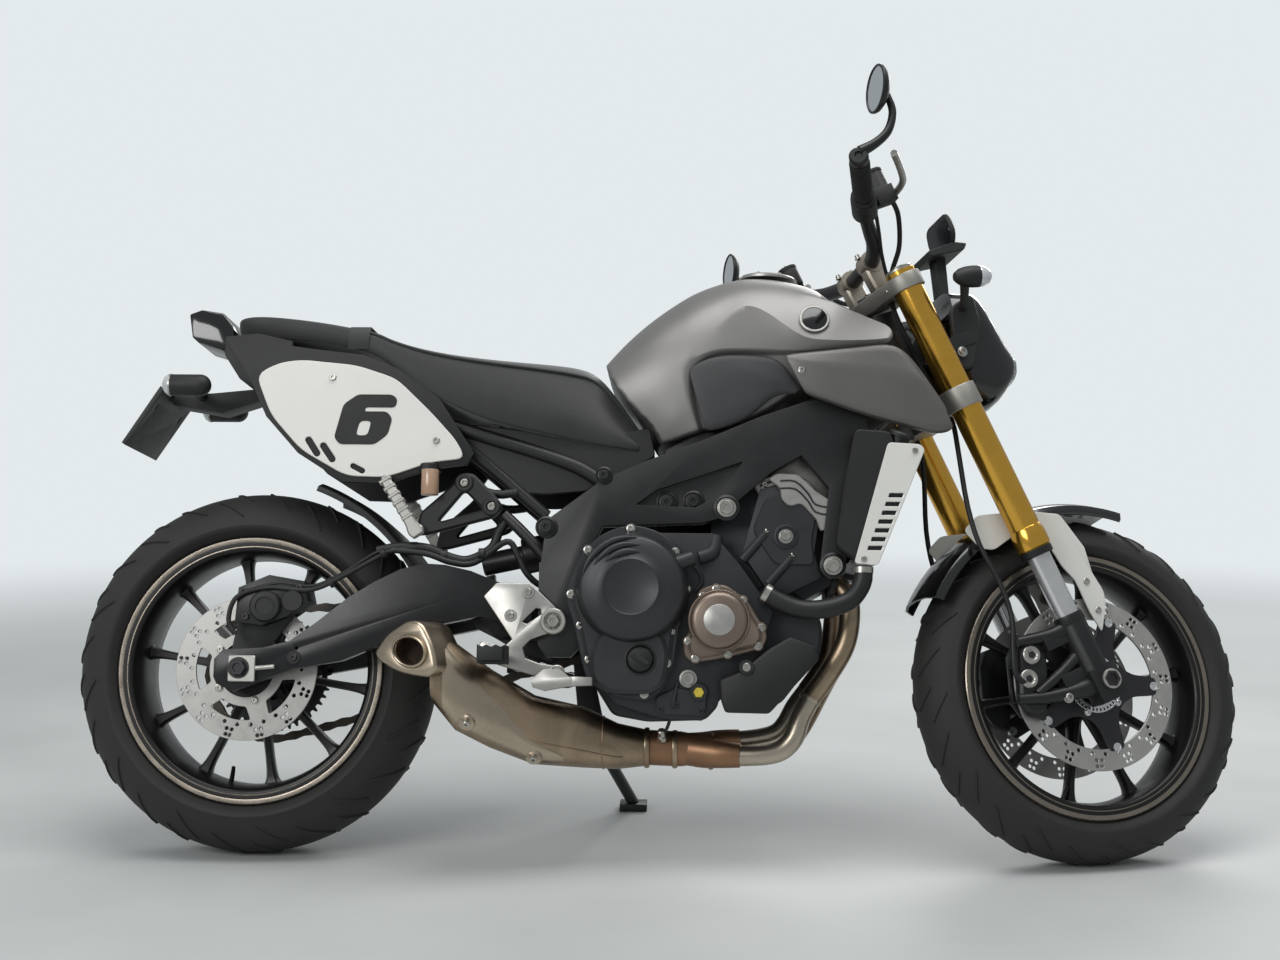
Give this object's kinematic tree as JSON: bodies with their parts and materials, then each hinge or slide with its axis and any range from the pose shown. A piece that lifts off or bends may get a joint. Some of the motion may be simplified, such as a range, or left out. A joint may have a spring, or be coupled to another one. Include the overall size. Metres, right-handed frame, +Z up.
{
  "type": "standard motorcycle",
  "caption": "Naked road motorcycle with upright bars, inline engine in a twin spar frame, flat track style tail panels, chain drive and a low side exhaust, parked on its side stand.",
  "frame": {"origin": "middle of the parked bike's box, on the floor", "axes": "+X to the front of the bike, +Y to the rider's left, +Z up; the bike leans to +Y on its stand"},
  "size_m": [2.0445, 0.8488, 1.3408],
  "materials": {
    "satin_black": "satin",
    "engine_grey": "satin",
    "charcoal": "satin",
    "bronze": "satin",
    "pewter": "satin",
    "silver": "polished",
    "black_plastic": "matte",
    "gloss_black": "gloss",
    "dark_plastic": "matte",
    "titanium": "heat tinted",
    "gunmetal": "satin metallic",
    "vinyl": "matte",
    "white_panel": "satin",
    "amber": "clear",
    "gold": "anodised",
    "rubber": "matte",
    "lens": "clear",
    "tyre": "matte",
    "rim_black": "satin",
    "steel": "brushed",
    "chain_steel": "oiled",
    "mirror_black": "gloss"
  },
  "bodies": {
    "chassis": {"frame": "satin_black", "subframe": "satin_black", "engine": "engine_grey", "head_cover": "pewter", "clutch_cover": "charcoal", "ignition_cover": "bronze", "left_covers": "charcoal", "airbox": "black_plastic", "radiator": "black_plastic", "radiator_guards": "white_panel", "coolant_hose": "rubber", "coolant_tank": "dark_plastic", "exhaust_pipes": "titanium", "muffler": "titanium", "fuel_tank": "gunmetal", "tank_covers": "gunmetal", "side_scoops": "dark_plastic", "seat": "vinyl", "tail_unit": "black_plastic", "number_panels": "white_panel", "tail_lamp": "black_plastic", "rear_indicators": "black_plastic", "plate_holder": "black_plastic", "swingarm": "satin_black", "rear_shock": "satin_black", "rear_hugger": "black_plastic", "chain": "chain_steel", "rear_caliper": "satin_black", "rider_brackets": "silver", "rider_pegs": "satin_black", "brake_pedal": "silver", "shift_lever": "silver", "brake_reservoir": "amber", "passenger_pegs": "silver"},
    "front_fork": {"fork_tubes": "gold", "fork_feet": "satin_black", "yokes": "pewter", "handlebar": "satin_black", "grips": "rubber", "bar_controls": "black_plastic", "levers": "silver", "mirrors": "mirror_black", "headlight": "gloss_black", "headlight_lens": "lens", "instrument": "black_plastic", "front_indicators": "black_plastic", "front_fender": "gloss_black", "fender_stays": "white_panel", "front_calipers": "satin_black", "brake_hoses": "rubber", "fork_sliders": "steel"},
    "front_wheel": {"front_tyre": "tyre", "front_rim": "rim_black", "front_discs": "steel"},
    "rear_wheel": {"rear_tyre": "tyre", "rear_rim": "rim_black", "rear_disc": "steel", "rear_sprocket": "steel"},
    "side_stand": {"side_stand": "satin_black"}
  },
  "joints": [
    {"name": "steering", "type": "hinge", "parent": "chassis", "child": "front_fork", "pos_m": [0.42778, -0.04233, 0.85927], "axis": [-0.4194, 0.1807, 0.8896], "range_deg": [-49.5, 14.5]},
    {"name": "front_wheel_spin", "type": "hinge", "parent": "front_fork", "child": "front_wheel", "pos_m": [0.73125, -0.14807, 0.28802], "axis": [-0.2737, 0.9092, -0.3137], "continuous": true},
    {"name": "rear_wheel_spin", "type": "hinge", "parent": "chassis", "child": "rear_wheel", "pos_m": [-0.70728, -0.1548, 0.31059], "axis": [-0.0007, 0.9799, -0.1994], "continuous": true},
    {"name": "side_stand_fold", "type": "hinge", "parent": "chassis", "child": "side_stand", "pos_m": [-0.12573, -0.05146, 0.18438], "axis": [0.0003, 0.9966, 0.083], "range_deg": [0, 95]}
  ]
}
